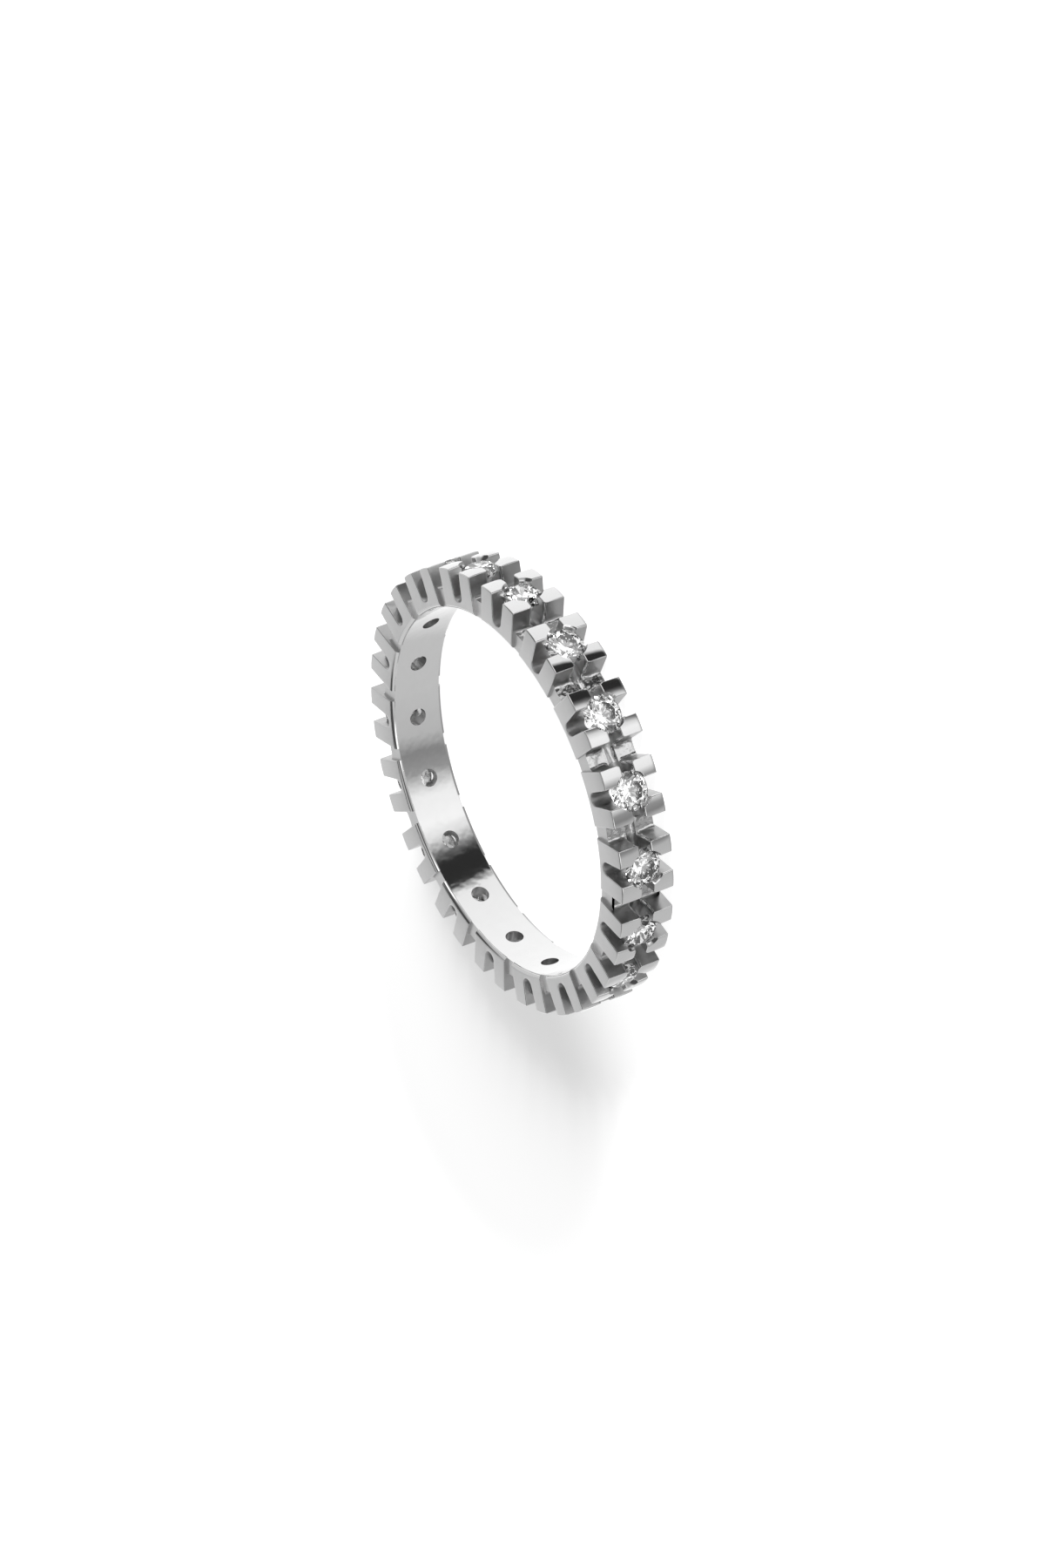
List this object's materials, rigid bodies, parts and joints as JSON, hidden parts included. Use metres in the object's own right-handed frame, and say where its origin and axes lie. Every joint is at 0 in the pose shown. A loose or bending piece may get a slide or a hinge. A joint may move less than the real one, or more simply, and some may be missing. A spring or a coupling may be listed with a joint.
{
  "type": "eternity ring",
  "caption": "Finger ring whose band is a row of rectangular prong blocks joined by low bars, with a round brilliant set in every block.",
  "frame": {"origin": "centre of the finger hole, in the plane of the side face that the ring rests on", "axes": "+Z along the finger hole's axis, up; +X through the middle of the first stone; the ring lies on its side on z = 0"},
  "size_m": [0.0208, 0.0208, 0.0026],
  "materials": {
    "platinum": "polished white metal, satin on the side faces",
    "diamond": "clear cut stone"
  },
  "bodies": {
    "root": {"band": "platinum", "stone_01": "diamond", "stone_02": "diamond", "stone_03": "diamond", "stone_04": "diamond", "stone_05": "diamond", "stone_06": "diamond", "stone_07": "diamond", "stone_08": "diamond", "stone_09": "diamond", "stone_10": "diamond", "stone_11": "diamond", "stone_12": "diamond", "stone_13": "diamond", "stone_14": "diamond", "stone_15": "diamond", "stone_16": "diamond", "stone_17": "diamond", "stone_18": "diamond"}
  },
  "joints": []
}
